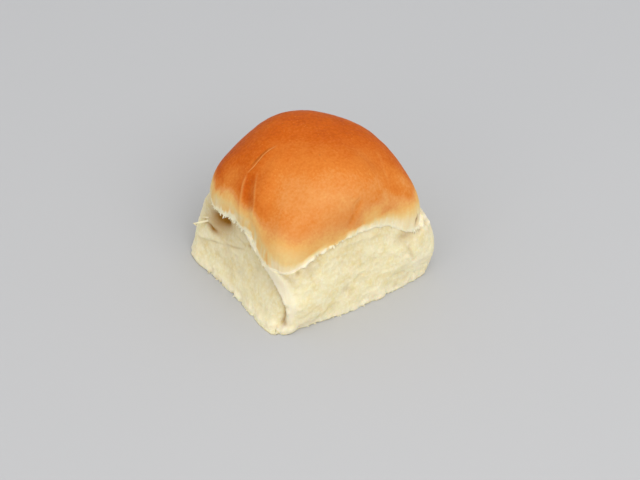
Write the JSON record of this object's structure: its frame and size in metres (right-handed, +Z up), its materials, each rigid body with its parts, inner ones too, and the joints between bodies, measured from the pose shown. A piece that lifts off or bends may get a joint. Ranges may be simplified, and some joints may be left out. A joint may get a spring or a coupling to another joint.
{
  "type": "bread roll",
  "caption": "Soft pull-apart dinner roll: a domed browned crust over four torn pale crumb sides and a flat baked base to rest on.",
  "frame": {"origin": "on the resting plane, in the middle of the roll's footprint box", "axes": "+Z up out of the crown; -Y out of the wide torn front side; -X out of the torn side that the crust overhangs"},
  "size_m": [0.0768, 0.067, 0.058],
  "materials": {
    "bread": "golden-brown baked crust with a soft satin sheen; pale cream open crumb, fully matte, where it was pulled apart"
  },
  "bodies": {
    "root": {"bread_roll": "bread"}
  },
  "joints": []
}
